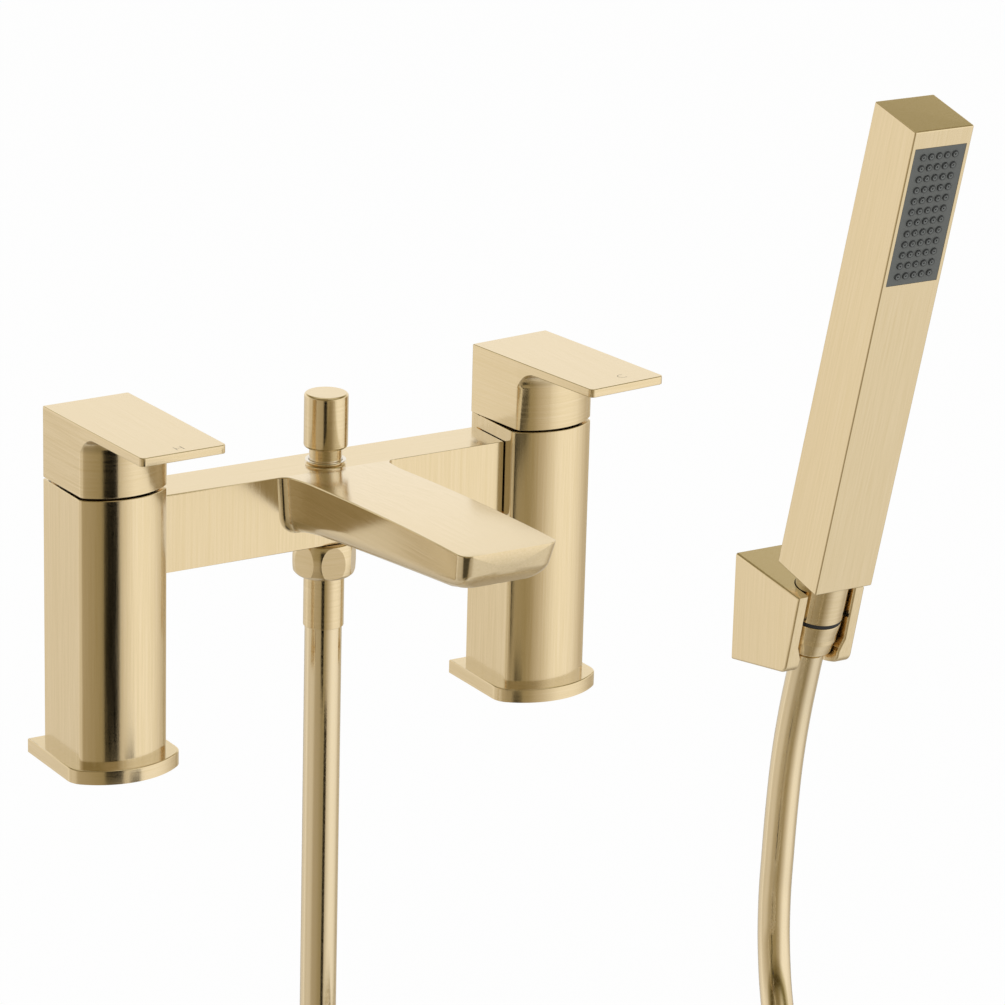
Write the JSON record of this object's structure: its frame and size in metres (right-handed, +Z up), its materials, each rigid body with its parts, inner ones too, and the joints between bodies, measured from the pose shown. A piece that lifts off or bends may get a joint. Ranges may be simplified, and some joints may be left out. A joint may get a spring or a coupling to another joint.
{
  "type": "bath shower mixer",
  "caption": "Deck-mounted bath shower mixer with two lever valves, a bridge with a flat spout, a lift-up diverter, and a square handset on a hose in a wall bracket.",
  "frame": {"origin": "midway between the two inlets, on the deck plane under the flanges", "axes": "+X from the hot inlet to the cold inlet, -Y towards the bath along the spout, +Z up from the deck"},
  "size_m": [0.4092, 0.3153, 0.4341],
  "materials": {
    "satin_gold": "zinc and brass castings, PVD coated in a champagne gold and brushed to a satin",
    "gold_hose": "smooth satin gold plastic jacket over a reinforced hose",
    "brass": "bare machined brass",
    "ceramic": "ground and lapped alumina ceramic",
    "black_rubber": "black EPDM rubber",
    "grey_rubber": "dark grey silicone rubber",
    "grey_plastic": "dark grey moulded ABS, fine matt",
    "pale_plastic": "natural acetal",
    "steel": "stainless steel"
  },
  "bodies": {
    "root": {"hot_pillar": "satin_gold", "hot_flange": "satin_gold", "hot_base_seal": "black_rubber", "hot_valve_body": "brass", "hot_seat_seal": "black_rubber", "hot_fixed_disc": "ceramic", "cold_pillar": "satin_gold", "cold_flange": "satin_gold", "cold_base_seal": "black_rubber", "cold_valve_body": "brass", "cold_seat_seal": "black_rubber", "cold_fixed_disc": "ceramic", "bridge_spout": "satin_gold", "union_nipples": "brass", "union_seals": "black_rubber", "diverter_bush": "satin_gold", "diverter_cage": "pale_plastic", "diverter_spring": "steel", "aerator_shell": "satin_gold", "aerator_insert": "pale_plastic", "shower_nipple": "brass", "check_valve": "pale_plastic", "hose_nut": "satin_gold", "hose_sleeve": "satin_gold", "hose_washer": "black_rubber", "hose_drop": "gold_hose", "hose_coil": "gold_hose", "hose_rise": "gold_hose", "bracket_body": "satin_gold", "wall_plate": "steel", "bracket_screw": "steel"},
    "hot_lever": {"hot_lever": "satin_gold", "hot_lever_screw": "steel", "hot_spindle": "brass", "hot_spindle_seal": "black_rubber", "hot_moving_disc": "ceramic"},
    "cold_lever": {"cold_lever": "satin_gold", "cold_lever_screw": "steel", "cold_spindle": "brass", "cold_spindle_seal": "black_rubber", "cold_moving_disc": "ceramic"},
    "diverter": {"diverter_knob": "satin_gold", "diverter_stem": "steel", "diverter_neck_seal": "black_rubber", "diverter_plunger": "brass", "diverter_plunger_seal": "black_rubber"},
    "hose_end": {"hose_ferrule": "brass"},
    "handset": {"cone_nut": "satin_gold", "cone_washer": "black_rubber", "neck_ring": "black_rubber", "inlet_neck": "satin_gold", "handset_body": "satin_gold", "handset_cap": "satin_gold", "water_core": "pale_plastic", "spray_chamber": "pale_plastic", "nozzle_mat": "grey_rubber", "spray_plate": "grey_plastic"}
  },
  "joints": [
    {"name": "hot_turn", "type": "hinge", "parent": "root", "child": "hot_lever", "pos_m": [-0.09, 0, 0.11], "axis": [0, 0, -1], "range_deg": [0, 90]},
    {"name": "cold_turn", "type": "hinge", "parent": "root", "child": "cold_lever", "pos_m": [0.09, 0, 0.11], "axis": [0, 0, 1], "range_deg": [-6, 84]},
    {"name": "diverter_lift", "type": "slide", "parent": "root", "child": "diverter", "axis": [0, 0, 1], "range_m": [0, 0.006], "stiffness_N_per_m": 300, "springref_m": -0.004, "deforming": ["diverter_spring"]},
    {"name": "handset_lift", "type": "slide", "parent": "root", "child": "hose_end", "axis": [0, -0.2385, 0.9711], "range_m": [0, 0.06]},
    {"name": "handset_swivel", "type": "hinge", "parent": "hose_end", "child": "handset", "pos_m": [0.28, 0.0702, -0.0081], "axis": [0, -0.2385, 0.9711], "continuous": true}
  ]
}
